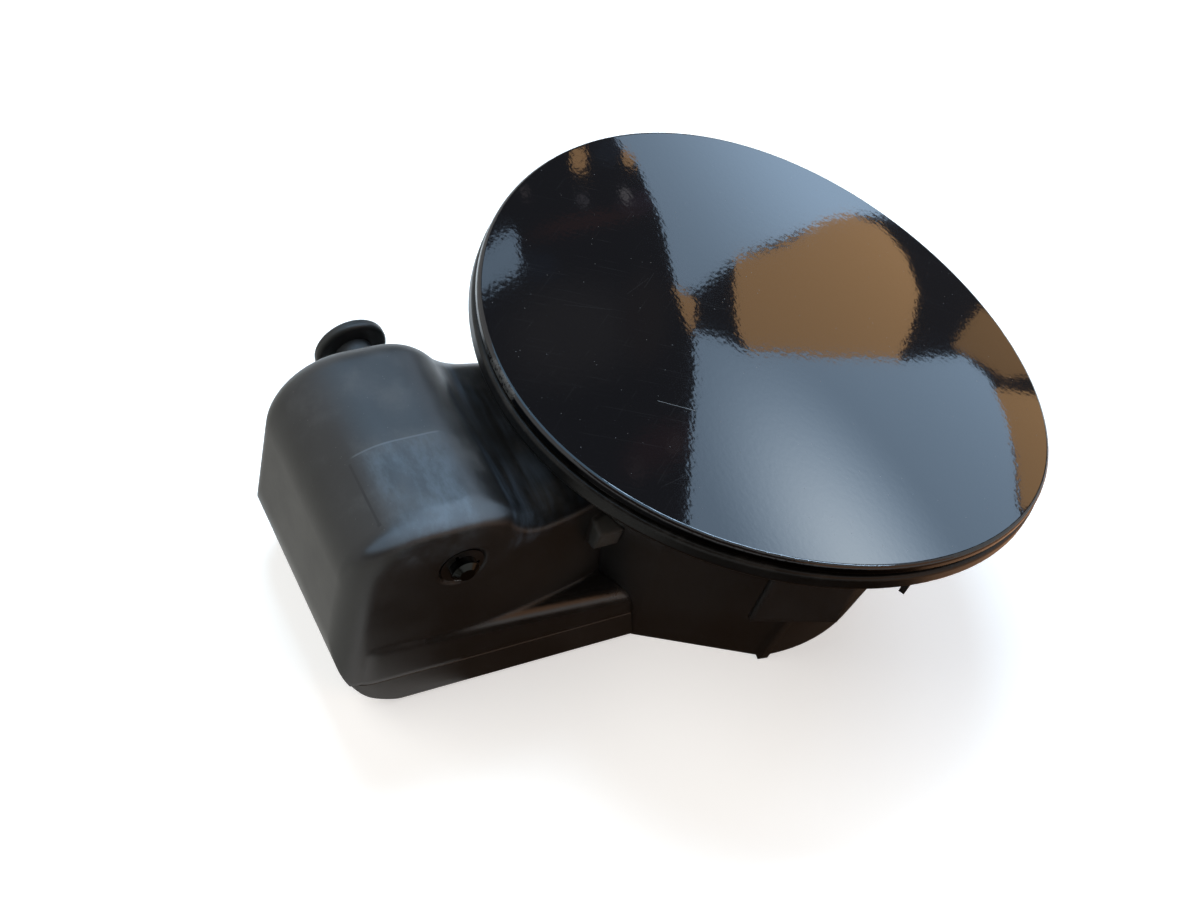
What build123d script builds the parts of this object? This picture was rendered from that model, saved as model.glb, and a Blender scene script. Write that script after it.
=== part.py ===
from build123d import *
import os
from math import cos, radians, sin, sqrt, tan

# Round car fuel door with its moulded housing: a filler bowl and, beside it, a deep hinge box
# in which the door's gooseneck arm swings. Millimetres.
# Frame: origin on the housing's back plane at the axis of the filler neck, +Z out of the car body,
# +X from the hinge towards the free edge of the door. The hinge pin runs along Y.

# Hinge line and arm
hinge_x = -100.0
hinge_z = 54.0
pin_radius = 4.0
pin_clearance = 0.05
hub_radius = 9.0
hub_half = 13.5
hub_side_gap = 0.4
arm_inner_radius = 37.5
arm_depth = 8.0
arm_half = 8.5
arm_gap = 3.0
arm_pocket = 4.5
arm_skin = 2.0
arm_flange_thickness = 3.5
arm_flange_near = -41.0
arm_flange_far = -73.0
arm_flange_half = 17.0

# Door panel and carrier
door_radius = 82.5
door_tilt = 8.3
door_x = 3.0
door_z = 74.6
panel_bend_radius = 514.0
panel_crown = 3.3
panel_thickness = 2.8
panel_edge_round = 1.2
bond_gap = 0.1
carrier_thickness = 2.2
groove_depth = 1.4
groove_height = 1.0
lip_height = 4.8
lip_wall = 3.2
lip_proud = 0.4
lip_round = 1.3
rib_width = 1.8
rib_height = 4.0
rib_ring_radius = 54.0
rib_inner_radius = 24.0
rib_count = 8
pad_level = -8.5
striker_half = 8.0
striker_thickness = 4.0
striker_gap = 2.5
striker_play = 0.6
cap_hook_x = 12.0
cap_hook_drop = 14.0
cap_hook_reach = 10.0
cap_hook_wall = 2.6
cap_hook_half = 7.0

# Bowl
wall = 2.5
bowl_radius = 51.5
bowl_draft = 11.0
bowl_facet_from = 98.0
bowl_facet_to = 140.5
floor_lift = 3.0
floor_thickness = 2.5
flange_level = -16.5
flange_thickness = 2.5
flange_radius = 68.0
wall_rib_width = 3.0
wall_rib_proud = 1.0
tongue_width = 26.0
tongue_thickness = 1.8
tongue_drop = 19.0
tongue_angles = (-102.0, -58.0, 58.0, 102.0)

# Hinge box
box_left = -130.5
box_half = 32.5
dome_radius = 18.5
dome_arc = 68.0
shoulder_radius = 21.0
saddle_end_x = -38.0
saddle_end_z = 60.0
neck_start_x = -105.0
neck_half = 19.0
box_round = 7.5
saddle_round = 14.0
heel_radius = 28.0
skirt_half = 33.2
skirt_corner = 12.0
skirt_end_x = -36.0
ledge_left_z = 30.0
ledge_end_z = 21.0
ledge_round = 4.5
seam_z = 12.0
seam_edge = 0.4
cover_bowl_gap = 0.3
boss_radius = 4.4
boss_top_z = 30.0
boss_left = (-105.0, 27.5)
boss_right = (-66.0, 27.0)
pin_boss_radius = 7.5
pin_recess_radius = 6.6
pin_recess_depth = 1.2
cover_edge = 1.6
lug_top = 52.0
lug_bottom = 42.0
lug_proud = 5.0
lugs = ((-60.0, 7.0), (-50.0, 4.0))

# Hinge pin, its retainer and the spring
stem_radius = 5.3
stem_length = 10.5
cap_radius = 10.0
cap_thickness = 3.4
cap_round = 1.3
nose_length = 4.2
pin_groove_radius = 3.1
retainer_radius = 5.9
retainer_thickness = 1.0
wire_radius = 0.9
coil_radius = 9.4
coil_pitch = 2.1
coil_turns = 4.5
spring_leg = 27.0
peg_radius = 2.0
peg_drop = 16.0
spring_peg_y = 23.0

# Seal, bushes, buffers and screws
neck_radius = 27.0
seal_hole_radius = 34.0
seal_overlap = 3.0
seal_bead = 3.0
seal_lip_z = 12.0
seal_lip_wall = 2.5
seat_gap = 0.05
guide_z = 37.0
guide_radius = 5.5
guide_bore = 4.0
guide_flange = 8.0
guide_flange_thickness = 1.6
guide_inside = 1.5
buffer_radius = 3.6
buffer_stem_radius = 2.0
buffer_barb = 0.6
buffer_angle = 33.0
buffer_ring = 64.2
buffer_gap = 0.3
buffer_taper = 3.0
fixing_ring = 44.5
fixing_angle = 62.0
sleeve_radius = 4.4
sleeve_bore = 3.3
fixing_boss_radius = 6.6
drain_radius = 3.0
screw_radius = 1.6
screw_gap = 0.05
screw_head_radius = 3.1
screw_head_height = 2.0
screw_recess = 0.6
cover_screw_length = 16.0
arm_screw_length = 6.5
arm_screw_x = (-66.5, -47.0)
arm_screw_y = 12.6

# Planes shared by the pieces
door = Plane(
    origin=(door_x, 0, door_z),
    x_dir=(cos(radians(door_tilt)), 0, -sin(radians(door_tilt))),
    z_dir=(sin(radians(door_tilt)), 0, cos(radians(door_tilt))),
)
door_axis = Axis(door.origin, door.z_dir)
pin_axis = Axis((hinge_x, 0, hinge_z), (0, 1, 0))
door_reach = door_radius + 10.0
door_side = Plane(origin=door.origin, x_dir=door.x_dir, z_dir=-door.y_dir)
dome_top = hinge_z + dome_radius
arm_outer_radius = arm_inner_radius + arm_depth
arm_flange_mid = (arm_flange_near + arm_flange_far) / 2
arm_flange_length = arm_flange_near - arm_flange_far
plate_depth = panel_thickness + bond_gap
under_plate = plate_depth + carrier_thickness
plate_middle = plate_depth + carrier_thickness / 2
rib_outer_radius = door_radius - lip_wall - lip_round
taper = tan(radians(bowl_draft))
neck_run = saddle_end_x - neck_start_x
neck_bend = (neck_run**2 + (box_half - neck_half) ** 2) / (2 * (box_half - neck_half))
coil_start = hub_half + hub_side_gap + 2 * wire_radius
cover_seat = screw_recess + screw_head_height
sleeve_length = floor_lift + floor_thickness + 2.0
guide_seat = bowl_radius + (guide_z + guide_flange + wall) * taper
arm_screw_points = [(x, side * arm_screw_y) for x in arm_screw_x for side in (1, -1)]
cover_screw_points = [(x, side * y) for x, y in (boss_left, boss_right) for side in (1, -1)]
fixing_points = [
    (fixing_ring * cos(radians(fixing_angle)), side * fixing_ring * sin(radians(fixing_angle)))
    for side in (1, -1)
]
buffer_points = [
    (buffer_ring * cos(radians(buffer_angle)), side * buffer_ring * sin(radians(buffer_angle)))
    for side in (1, -1)
]


def door_face(x):
    """Height of the painted face over the door plane at a distance towards the free edge."""
    return panel_crown - panel_bend_radius + sqrt(panel_bend_radius**2 - x**2)


def door_layer(top, bottom):
    """Bent layer between two depths under the painted face."""
    with BuildPart() as layer:
        with BuildSketch(door_side):
            with BuildLine():
                ends = []
                for depth in (top, bottom):
                    bend = panel_bend_radius - depth
                    level = panel_crown - depth
                    edge = level - bend + sqrt(bend**2 - door_reach**2)
                    ends.append(ThreePointArc((-door_reach, edge), (0, level), (door_reach, edge)))
                Line(ends[0] @ 0, ends[1] @ 0)
                Line(ends[0] @ 1, ends[1] @ 1)
            make_face()
        extrude(amount=door_reach, both=True)
    return layer.part


def bowl_form(grow, base_z, top_z):
    """Tapered bowl with two flat facets towards the hinge box, its wall moved out by grow."""
    radius = bowl_radius + grow + base_z * taper
    first = radians(bowl_facet_from)
    second = radians(bowl_facet_to)
    with BuildPart() as form:
        with BuildSketch(Plane.XY.offset(base_z)):
            with BuildLine():
                CenterArc((0, 0), radius, -bowl_facet_from, 2 * bowl_facet_from)
                CenterArc((0, 0), radius, bowl_facet_to, 360 - 2 * bowl_facet_to)
                for side in (1, -1):
                    Line(
                        (radius * cos(first), side * radius * sin(first)),
                        (radius * cos(second), side * radius * sin(second)),
                    )
            make_face()
        extrude(amount=top_z - base_z, taper=-bowl_draft)
    return form.part


def hinge_box_form(inset, base_z):
    """Domed hinge box with its saddle towards the bowl, every wall moved in by inset."""
    left = box_left + inset
    top = dome_top - inset
    shoulder = shoulder_radius - inset
    half = box_half - inset
    with BuildPart() as form:
        with BuildSketch(Plane.XZ):
            with BuildLine():
                Line((left, base_z), (left, top - shoulder))
                CenterArc((left + shoulder, top - shoulder), shoulder, 180, -90)
                Line((left + shoulder, top), (hinge_x, top))
                crest = CenterArc((hinge_x, hinge_z), dome_radius - inset, 90, -dome_arc)
                saddle = Line(crest @ 1, (saddle_end_x, saddle_end_z - inset))
                Line(saddle @ 1, (saddle_end_x, base_z))
                Line((saddle_end_x, base_z), (left, base_z))
            make_face()
        extrude(amount=box_half + 5, both=True)
        crest_end = Plane.XZ.from_local_coords(crest @ 1)
        valley = form.edges().filter_by(Axis.Y).sort_by_distance(crest_end)[0]
        fillet(valley, saddle_round + inset)
        with BuildSketch(Plane.XY.offset(base_z)):
            with BuildLine():
                Line((left, -half), (left, half))
                for side in (1, -1):
                    flat = Line((left, side * half), (neck_start_x, side * half))
                    RadiusArc(
                        flat @ 1,
                        (saddle_end_x, side * (neck_half - inset)),
                        side * neck_bend,
                    )
                Line((saddle_end_x, neck_half - inset), (saddle_end_x, inset - neck_half))
            make_face()
        extrude(amount=top - base_z + 5, mode=Mode.INTERSECT)
        rim = form.edges().filter_by(lambda e: base_z + 0.1 < e.center().Z)
        rim = rim.filter_by(lambda e: abs((e % 0.5).Y) < 0.7 and e.center().X < saddle_end_x - 0.1)
        rim = rim.filter_by(lambda e: abs((e % 0.5).Z) < 0.99 or e.center().X < left + 0.1)
        fillet(rim, box_round - inset)
    return form.part


def skirt_form(inset, base_z, edge):
    """Lower skirt of the hinge box under its sloping ledge."""
    left = box_left + inset
    with BuildPart() as form:
        with BuildSketch(Plane.XZ):
            with BuildLine():
                Polyline(
                    (left, base_z),
                    (left, ledge_left_z - inset),
                    (skirt_end_x, ledge_end_z - inset),
                    (skirt_end_x, base_z),
                    close=True,
                )
            make_face()
        extrude(amount=skirt_half - inset, both=True)
        fillet(form.edges().filter_by(Axis.Z).group_by(Axis.X)[0], skirt_corner - inset)
        ledge = form.faces().sort_by(Axis.Z)[-1].edges()
        ledge_room = (ledge_end_z - seam_z) / 2
        fillet(ledge.filter_by(lambda e: e.center().X < skirt_end_x - 0.1), min(edge, ledge_room))
    return form.part


def heel_form(inset):
    """Side outline that rounds the free end of the hinge box up from its back."""
    with BuildPart() as form:
        with BuildSketch(Plane.XZ) as outline:
            with Locations((box_left + inset, inset)):
                Rectangle(-box_left, 2 * dome_top, align=(Align.MIN, Align.MIN))
            heel = outline.vertices().group_by(Axis.X)[0].sort_by(Axis.Y)[0]
            fillet(heel, heel_radius - inset)
        extrude(amount=2 * skirt_half, both=True)
    return form.part


def screw(seat, length):
    """Pan head screw whose head bears on the seat plane and whose shank runs along its normal."""
    with BuildPart() as body:
        with BuildSketch(seat):
            Circle(screw_head_radius)
        extrude(amount=-screw_head_height)
        fillet(body.edges().sort_by(Axis(seat.origin, seat.z_dir))[0], screw_head_height / 2)
        with BuildSketch(seat):
            Circle(screw_radius)
        extrude(amount=length)
        chamfer(body.edges().sort_by(Axis(seat.origin, seat.z_dir))[-1], screw_radius / 3)
        with BuildSketch(seat.offset(-screw_head_height)):
            RegularPolygon(screw_radius, 6)
        extrude(amount=screw_head_height * 0.6, mode=Mode.SUBTRACT)
    return body.part


def save(piece, name):
    piece.label = name
    export_step(piece, f"parts/{name}.step")


os.makedirs("parts", exist_ok=True)

# Painted outer panel
with BuildPart() as door_panel:
    add(door_layer(0, panel_thickness))
    with BuildSketch(door.offset(-door_reach)):
        Circle(door_radius)
    extrude(amount=2 * door_reach, mode=Mode.INTERSECT)
    rim = door_panel.edges().filter_by(lambda e: e.length > 6 * door_radius).sort_by(door_axis)
    fillet(rim[-1], panel_edge_round)
    rim = door_panel.edges().filter_by(lambda e: e.length > 6 * door_radius).sort_by(door_axis)
    fillet(rim[0], panel_edge_round / 2)
save(door_panel.part, "door_panel")

# Lip that runs round the carrier under a shadow groove
lip_depth = panel_thickness + groove_height
with BuildPart() as carrier_lip:
    add(door_layer(lip_depth, lip_depth + lip_height))
    with BuildSketch(door.offset(-door_reach)):
        Circle(door_radius + lip_proud)
        Circle(door_radius - lip_wall, mode=Mode.SUBTRACT)
    extrude(amount=2 * door_reach, mode=Mode.INTERSECT)
    rims = carrier_lip.edges().filter_by(lambda e: e.length > 6 * (door_radius - lip_wall))
    fillet(rims, lip_round)

# Grid of ring and radial ribs, rooted in the middle of the carrier plate
with BuildPart() as carrier_ribs:
    add(door_layer(plate_middle, under_plate + rib_height))
    with BuildSketch(door.offset(-door_reach)):
        for ring in (rib_ring_radius, rib_inner_radius):
            Circle(ring + rib_width / 2)
            Circle(ring - rib_width / 2, mode=Mode.SUBTRACT)
        with PolarLocations((rib_inner_radius + rib_outer_radius) / 2, rib_count, start_angle=180 / rib_count):
            Rectangle(rib_outer_radius - rib_inner_radius, rib_width)
    extrude(amount=2 * door_reach, mode=Mode.INTERSECT)

# Pad for the arm, cap hook and striker eye, all rooted in the carrier plate
under_panel = door_layer(plate_middle, door_reach)
with BuildPart() as arm_pad:
    add(under_panel)
    with BuildSketch(door.offset(pad_level)):
        with Locations((arm_flange_mid, 0)):
            Rectangle(arm_flange_length, 2 * arm_flange_half)
    extrude(amount=2 * door_reach, mode=Mode.INTERSECT)

with BuildPart() as cap_hook:
    add(under_panel)
    with BuildSketch(door_side):
        with BuildLine():
            Polyline(
                (cap_hook_x, door_reach),
                (cap_hook_x, -cap_hook_drop),
                (cap_hook_x + cap_hook_reach, -cap_hook_drop),
                (cap_hook_x + cap_hook_reach, cap_hook_wall - cap_hook_drop),
                (cap_hook_x + cap_hook_wall, cap_hook_wall - cap_hook_drop),
                (cap_hook_x + cap_hook_wall, door_reach),
                close=True,
            )
        make_face()
    extrude(amount=cap_hook_half, both=True, mode=Mode.INTERSECT)

striker_face = bowl_radius + guide_z * taper - wall - guide_inside - striker_gap
with BuildPart() as striker:
    add(under_panel)
    with BuildSketch(Plane.YZ.offset(striker_face)):
        with Locations((0, guide_z)):
            Circle(striker_half)
            Rectangle(2 * striker_half, door_reach, align=(Align.CENTER, Align.MIN))
            Circle(guide_bore + striker_play, mode=Mode.SUBTRACT)
    extrude(amount=-striker_thickness, mode=Mode.INTERSECT)

with BuildPart() as door_carrier:
    add(door_layer(plate_depth, under_plate))
    with BuildSketch(door.offset(-door_reach)):
        Circle(door_radius - groove_depth)
    extrude(amount=2 * door_reach, mode=Mode.INTERSECT)
    add(carrier_lip.part)
    add(carrier_ribs.part)
    add(arm_pad.part)
    add(cap_hook.part)
    add(striker.part)
    # Ribs stop at the seat of the arm's flange
    with BuildSketch(door.offset(pad_level)):
        with Locations((arm_flange_mid, 0)):
            Rectangle(arm_flange_length, 2 * arm_flange_half)
    extrude(amount=-rib_height, mode=Mode.SUBTRACT)
    with BuildSketch(door.offset(pad_level)):
        with Locations(*arm_screw_points):
            Circle(screw_radius + screw_gap)
    extrude(amount=arm_screw_length - arm_flange_thickness + screw_radius / 3, mode=Mode.SUBTRACT)
save(door_carrier.part, "door_carrier")

# Gooseneck arm: hub, spoke, arc about the pin and riser to a flange under the carrier
arm_centre = (hinge_x, hinge_z)
with BuildPart() as hinge_arm:
    with BuildSketch(Plane.XZ) as arm_side:
        with Locations(arm_centre):
            Circle(arm_outer_radius)
            Circle(arm_inner_radius, mode=Mode.SUBTRACT)
            Rectangle(
                arm_outer_radius, arm_outer_radius, align=(Align.MIN, Align.MAX), mode=Mode.INTERSECT
            )
            Rectangle(arm_depth, arm_outer_radius, align=(Align.CENTER, Align.MAX))
            Circle(hub_radius)
        corner = arm_side.vertices().sort_by_distance((hinge_x - arm_depth / 2, hinge_z - arm_outer_radius))
        fillet(corner[0], arm_depth / 2)
        bend = arm_side.vertices().sort_by_distance((hinge_x + arm_depth / 2, hinge_z - arm_inner_radius))
        fillet(bend[0], arm_depth / 2)
        with Locations((hinge_x + arm_inner_radius, hinge_z)):
            Rectangle(arm_depth, door_z, align=(Align.MIN, Align.MIN))
    extrude(amount=arm_half, both=True)
    split(bisect_by=door.offset(pad_level - arm_flange_thickness / 2), keep=Keep.BOTTOM)
    with BuildSketch(door.offset(pad_level)):
        with Locations((arm_flange_mid, 0)):
            RectangleRounded(arm_flange_length, 2 * arm_flange_half, arm_skin * 2)
    extrude(amount=-arm_flange_thickness)
    with BuildSketch(Plane.XZ):
        with Locations(arm_centre):
            Circle(hub_radius)
    extrude(amount=hub_half, both=True)
    with BuildSketch(Plane.XZ):
        with Locations((hinge_x, hinge_z - spring_leg + 2 * arm_skin)):
            Rectangle(coil_radius - wire_radius - bond_gap, 2 * arm_skin, align=(Align.MIN, Align.CENTER))
    extrude(amount=-(coil_start + wire_radius))
    with BuildSketch(Plane.XZ.offset(arm_half)) as arm_pockets:
        with Locations(arm_centre):
            Circle(arm_outer_radius - arm_skin)
            Circle(arm_inner_radius + arm_skin, mode=Mode.SUBTRACT)
            with Locations((arm_depth, 0)):
                Rectangle(
                    arm_outer_radius, arm_outer_radius, align=(Align.MIN, Align.MAX), mode=Mode.INTERSECT
                )
    extrude(amount=-arm_pocket, mode=Mode.SUBTRACT)
    with BuildSketch(Plane.XZ.offset(-arm_half)):
        add(arm_pockets.sketch_local)
    extrude(amount=arm_pocket, mode=Mode.SUBTRACT)
    with BuildSketch(Plane.XZ):
        with Locations(arm_centre):
            Circle(pin_radius + pin_clearance)
    extrude(amount=2 * hub_half, both=True, mode=Mode.SUBTRACT)
    with BuildSketch(door.offset(pad_level)):
        with Locations(*arm_screw_points):
            Circle(screw_radius + screw_gap)
    extrude(amount=-2 * arm_flange_thickness, mode=Mode.SUBTRACT)
save(hinge_arm.part, "hinge_arm")

for number, (x, y) in enumerate(arm_screw_points, 1):
    seat_point = door.from_local_coords(Vector(x, y, pad_level - arm_flange_thickness))
    arm_seat = Plane(origin=seat_point, x_dir=door.x_dir, z_dir=door.z_dir)
    save(screw(arm_seat, arm_screw_length), f"arm_screw_{number}")

# Bowl with its rim flange, made before it is hollowed
with BuildPart() as bowl_outer:
    add(bowl_form(0, 0, 2 * door_z))
    for side in (1, -1):
        turn = side * bowl_facet_from
        outward = Vector(cos(radians(turn)), sin(radians(turn)), 0)
        with BuildSketch(Plane(origin=outward * bowl_radius, x_dir=outward, z_dir=(0, 0, 1))):
            Rectangle(2 * wall_rib_proud, wall_rib_width)
        extrude(amount=2 * door_z, dir=outward * taper + Vector(0, 0, 1))
    split(bisect_by=door.offset(flange_level), keep=Keep.BOTTOM)
    with BuildSketch(door.offset(flange_level)):
        Circle(flange_radius)
    extrude(amount=-flange_thickness)
    with BuildSketch(door.offset(flange_level)):
        for turn in tongue_angles:
            with PolarLocations(flange_radius - tongue_thickness, 1, start_angle=turn):
                Rectangle(tongue_thickness, tongue_width)
    extrude(amount=-flange_thickness - tongue_drop)
    with BuildSketch(Plane.YZ.offset(guide_seat)):
        with Locations((0, guide_z)):
            Circle(guide_flange + wall / 2)
    extrude(amount=-guide_seat / 3)

with BuildPart() as box_outer:
    add(hinge_box_form(0, seam_z))
    add(skirt_form(0, seam_z, ledge_round))
    add(heel_form(0), mode=Mode.INTERSECT)

# Hollow of the hinge box, up to the bowl's own wall
with BuildPart() as box_hollow:
    add(hinge_box_form(wall, seam_z - wall))
    add(skirt_form(wall, seam_z - wall, ledge_round))
    add(heel_form(wall), mode=Mode.INTERSECT)
    add(bowl_form(0, 0, 2 * door_z), mode=Mode.SUBTRACT)

with BuildPart() as cover_bosses:
    with BuildSketch(Plane.XY.offset(seam_z)):
        with Locations(*cover_screw_points):
            Circle(boss_radius)
    extrude(amount=boss_top_z - seam_z)
    add(box_outer.part, mode=Mode.INTERSECT)

# Room for the arm's swing through the saddle, the bowl's wall and its flange
with BuildPart() as arm_sweep:
    with BuildSketch(Plane.XZ):
        with Locations(arm_centre):
            Circle(arm_outer_radius + arm_gap)
            Circle(arm_inner_radius - arm_gap / 2, mode=Mode.SUBTRACT)
            with Locations((2 * hub_radius, 0)):
                Rectangle(
                    arm_outer_radius, 4 * arm_outer_radius, align=(Align.MIN, Align.CENTER), mode=Mode.INTERSECT
                )
    extrude(amount=arm_half + arm_gap, both=True)

# Hinge box, welded to the bowl's wall
with BuildPart() as hinge_box:
    add(box_outer.part)
    add(box_hollow.part, mode=Mode.SUBTRACT)
    add(cover_bosses.part)
    # Pin bosses, spring peg and lugs of the neck
    for side in (1, -1):
        with BuildSketch(Plane.XZ.offset(side * (hub_half + hub_side_gap))):
            with Locations(arm_centre):
                Circle(pin_boss_radius)
        extrude(amount=side * (box_half - wall / 2 - hub_half - hub_side_gap))
    with BuildSketch(Plane.XZ.offset(-spring_peg_y)):
        with Locations((hinge_x - coil_radius + wire_radius + peg_radius + bond_gap, hinge_z - peg_drop)):
            Circle(peg_radius)
    extrude(amount=spring_peg_y - box_half + wall / 2)
    for lug_x, lug_width in lugs:
        away = lug_x - neck_start_x
        lug_wall = box_half - away**2 / (2 * neck_bend)
        with BuildSketch(Plane.YZ.offset(lug_x)):
            with BuildLine():
                Polyline(
                    (wall / 2 - lug_wall, lug_top),
                    (-lug_wall - lug_proud, lug_top - lug_proud / 3),
                    (-lug_wall - lug_proud * 0.8, lug_bottom + lug_proud / 3),
                    (wall / 2 - lug_wall, lug_bottom),
                    close=True,
                )
            make_face()
        extrude(amount=lug_width)
    add(bowl_form(0, 0, 2 * door_z), mode=Mode.SUBTRACT)
    add(arm_sweep.part, mode=Mode.SUBTRACT)
    # Pin bore and the round recess at its near end
    with BuildSketch(Plane.XZ):
        with Locations(arm_centre):
            Circle(pin_radius + pin_clearance)
    extrude(amount=2 * box_half, both=True, mode=Mode.SUBTRACT)
    with BuildSketch(Plane.XZ.offset(box_half - pin_recess_depth)):
        with Locations(arm_centre):
            Circle(pin_recess_radius)
    extrude(amount=2 * pin_recess_depth, mode=Mode.SUBTRACT)
    # Pilot holes for the cover's screws
    with BuildSketch(Plane.XY.offset(seam_z)):
        with Locations(*cover_screw_points):
            Circle(screw_radius + screw_gap)
    extrude(amount=cover_seat + cover_screw_length + screw_radius / 3 - seam_z, mode=Mode.SUBTRACT)
save(hinge_box.part, "hinge_box")

# Bowl of the housing
with BuildPart() as housing:
    add(bowl_outer.part)
    add(bowl_form(-wall, floor_lift + floor_thickness, 2 * door_z), mode=Mode.SUBTRACT)
    add(bowl_form(-wall, 0, floor_lift), mode=Mode.SUBTRACT)
    add(arm_sweep.part, mode=Mode.SUBTRACT)
    # Filler hole, fixing bosses, drain, lock guide and buffer holes
    with BuildSketch():
        with Locations(*fixing_points):
            Circle(fixing_boss_radius)
    extrude(amount=sleeve_length)
    with BuildSketch():
        Circle(seal_hole_radius)
        with Locations(*fixing_points):
            Circle(sleeve_radius + seat_gap)
        with Locations((0, fixing_ring)):
            Circle(drain_radius)
    extrude(amount=2 * sleeve_length, mode=Mode.SUBTRACT)
    with BuildSketch(Plane.YZ):
        with Locations((0, guide_z)):
            Circle(guide_radius + seat_gap)
    extrude(amount=2 * bowl_radius, mode=Mode.SUBTRACT)
    with BuildSketch(door.offset(flange_level)):
        with Locations(*buffer_points):
            Circle(buffer_stem_radius + seat_gap)
    extrude(amount=-2 * flange_thickness, mode=Mode.SUBTRACT)
save(housing.part, "housing")

# Tray that closes the back of the hinge box
with BuildPart() as cover_hollow:
    with BuildSketch(Plane.XY.offset(wall)):
        with BuildLine():
            Polyline(
                (box_left + wall, wall - skirt_half),
                (skirt_end_x, wall - skirt_half),
                (skirt_end_x, skirt_half - wall),
                (box_left + wall, skirt_half - wall),
                close=True,
            )
        make_face()
    extrude(amount=seam_z)
    fillet(cover_hollow.edges().filter_by(Axis.Z).group_by(Axis.X)[0], skirt_corner - wall)
    add(heel_form(wall), mode=Mode.INTERSECT)
    add(bowl_form(cover_bowl_gap + wall, 0, 2 * seam_z), mode=Mode.SUBTRACT)

with BuildPart() as hinge_box_cover:
    with BuildSketch():
        with BuildLine():
            Polyline(
                (box_left, -skirt_half),
                (skirt_end_x, -skirt_half),
                (skirt_end_x, skirt_half),
                (box_left, skirt_half),
                close=True,
            )
        make_face()
    extrude(amount=seam_z)
    fillet(hinge_box_cover.edges().filter_by(Axis.Z).group_by(Axis.X)[0], skirt_corner)
    base = hinge_box_cover.faces().sort_by(Axis.Z)[0].edges()
    fillet(base.filter_by(lambda e: e.center().X < skirt_end_x - 0.1), cover_edge)
    rim = hinge_box_cover.faces().sort_by(Axis.Z)[-1].edges()
    chamfer(rim.filter_by(lambda e: e.center().X < skirt_end_x - 0.1), seam_edge)
    add(bowl_form(cover_bowl_gap, 0, 2 * seam_z), mode=Mode.SUBTRACT)
    add(cover_hollow.part, mode=Mode.SUBTRACT)
    with BuildSketch():
        with Locations(*cover_screw_points):
            Circle(boss_radius)
    extrude(amount=seam_z)
    add(heel_form(0), mode=Mode.INTERSECT)
    with BuildSketch():
        with Locations(*cover_screw_points):
            Circle(screw_radius + screw_gap)
    extrude(amount=seam_z, mode=Mode.SUBTRACT)
    with BuildSketch():
        with Locations(*cover_screw_points):
            Circle(screw_head_radius + 2 * screw_gap)
    extrude(amount=cover_seat, mode=Mode.SUBTRACT)
save(hinge_box_cover.part, "hinge_box_cover")

for number, (x, y) in enumerate(cover_screw_points, 1):
    save(screw(Plane((x, y, cover_seat)), cover_screw_length), f"cover_screw_{number}")

# Hinge pin with its mushroom head on the far side and a grooved nose on the near side
pin_plane = Plane(origin=(hinge_x, 0, hinge_z), x_dir=(0, 1, 0), z_dir=(1, 0, 0))
recess_floor = pin_recess_depth - box_half
groove_end = recess_floor - retainer_thickness - bond_gap
with BuildPart() as hinge_pin:
    with BuildSketch(pin_plane) as pin_profile:
        with BuildLine():
            Polyline(
                (recess_floor - nose_length, 0),
                (recess_floor - nose_length, pin_groove_radius - 1),
                (recess_floor - nose_length + 1, pin_radius - 0.3),
                (groove_end, pin_radius - 0.3),
                (groove_end, pin_groove_radius),
                (recess_floor, pin_groove_radius),
                (recess_floor, pin_radius),
                (box_half, pin_radius),
                (box_half, stem_radius),
                (box_half + stem_length, stem_radius),
                (box_half + stem_length, cap_radius),
                (box_half + stem_length + cap_thickness, cap_radius),
                (box_half + stem_length + cap_thickness, 0),
                close=True,
            )
        make_face()
        rim = pin_profile.vertices().filter_by(lambda v: v.Y > cap_radius - 0.1)
        fillet(rim, cap_round)
    revolve(axis=pin_axis)
save(hinge_pin.part, "hinge_pin")

with BuildPart() as pin_retainer:
    with BuildSketch(Plane.XZ.offset(-recess_floor)):
        with Locations(arm_centre):
            Circle(retainer_radius)
            Circle(pin_groove_radius + seat_gap, mode=Mode.SUBTRACT)
            with PolarLocations(pin_groove_radius + seat_gap, 3):
                Rectangle(pin_groove_radius, 1, mode=Mode.SUBTRACT)
    extrude(amount=retainer_thickness)
save(pin_retainer.part, "pin_retainer")

# Closing spring: coil round the far pin boss, one leg on the arm's catch, one on the housing's peg
coil_plane = Plane(origin=(hinge_x, coil_start, hinge_z), x_dir=(1, 0, 0), z_dir=(0, 1, 0))
with BuildPart() as door_spring:
    with BuildLine() as wire:
        coil = Helix(coil_pitch, coil_pitch * coil_turns, coil_radius, lefthand=True)
        Line(coil @ 0 - (coil % 0) * spring_leg, coil @ 0)
        Line(coil @ 1, coil @ 1 + (coil % 1) * (peg_drop + 2 * peg_radius))
    wire_path = wire.wires()[0]
    with BuildSketch(Plane(origin=wire_path @ 0, z_dir=wire_path % 0)):
        Circle(wire_radius)
    sweep(path=wire_path, is_frenet=True)
save(coil_plane.location * door_spring.part, "door_spring")

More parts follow.
